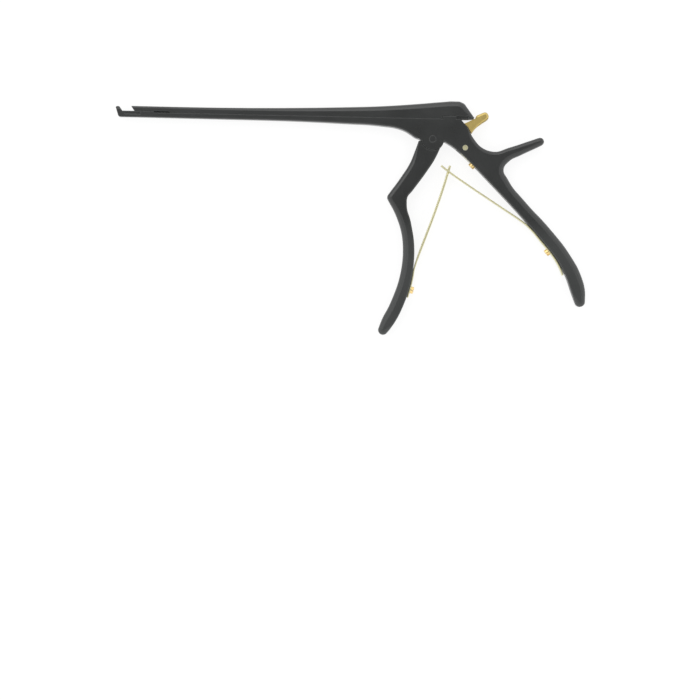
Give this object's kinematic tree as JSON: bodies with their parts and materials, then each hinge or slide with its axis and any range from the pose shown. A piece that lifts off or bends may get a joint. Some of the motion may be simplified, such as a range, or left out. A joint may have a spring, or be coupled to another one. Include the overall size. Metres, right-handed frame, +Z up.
{
  "type": "laminectomy punch",
  "caption": "Long bone punch with a sliding upper shaft over a fixed footplate, worked by two sprung handles, with a thumb latch that frees the slide.",
  "frame": {"origin": "where the front handle's pivot axis meets the side that the punch lies on", "axes": "+X from the jaws towards the rear handle, +Y from the handles towards the slide, +Z up through the thickness from the side it lies on"},
  "size_m": [0.2837, 0.1407, 0.01],
  "materials": {
    "black_coating": "satin black ceramic coating on stainless steel",
    "gold_latch": "satin gold coating on stainless steel",
    "gold_pin": "gold coated, ground flush",
    "gold_screw": "gold coated, slotted",
    "gold_spring": "pale gold coating on spring steel",
    "bare_steel": "ground"
  },
  "bodies": {
    "frame": {"frame_and_shaft": "black_coating", "handle_pivot_pin": "black_coating", "latch_pivot_pin": "gold_pin", "latch_spring": "gold_spring", "latch_spring_screw": "gold_screw", "rear_leaf_spring": "gold_spring", "rear_spring_screw": "gold_screw"},
    "slide": {"top_slide": "black_coating"},
    "front_handle": {"front_handle": "black_coating", "drive_pin": "bare_steel", "front_leaf_spring": "gold_spring", "front_spring_screw": "gold_screw"},
    "latch": {"release_latch": "gold_latch"}
  },
  "joints": [
    {"name": "handle_squeeze", "type": "hinge", "parent": "frame", "child": "front_handle", "pos_m": [0, 0, 0.005], "axis": [0, 0, 1], "range_deg": [0, 24.8], "stiffness_Nm_per_rad": 1.5, "springref_deg": -17.19, "deforming": ["front_leaf_spring", "rear_leaf_spring"]},
    {"name": "slide_travel", "type": "slide", "parent": "frame", "child": "slide", "axis": [-1, 0, 0], "range_m": [0, 0.0071]},
    {"name": "latch_release", "type": "hinge", "parent": "frame", "child": "latch", "pos_m": [0.0196, -0.0048, 0.005], "axis": [0, 0, -1], "range_deg": [0, 39], "stiffness_Nm_per_rad": 0.3, "springref_deg": -17.19, "deforming": ["latch_spring"]}
  ],
  "couplings": [
    {"joint": "slide_travel", "follows": "handle_squeeze", "m_per_rad": 0.016403}
  ]
}
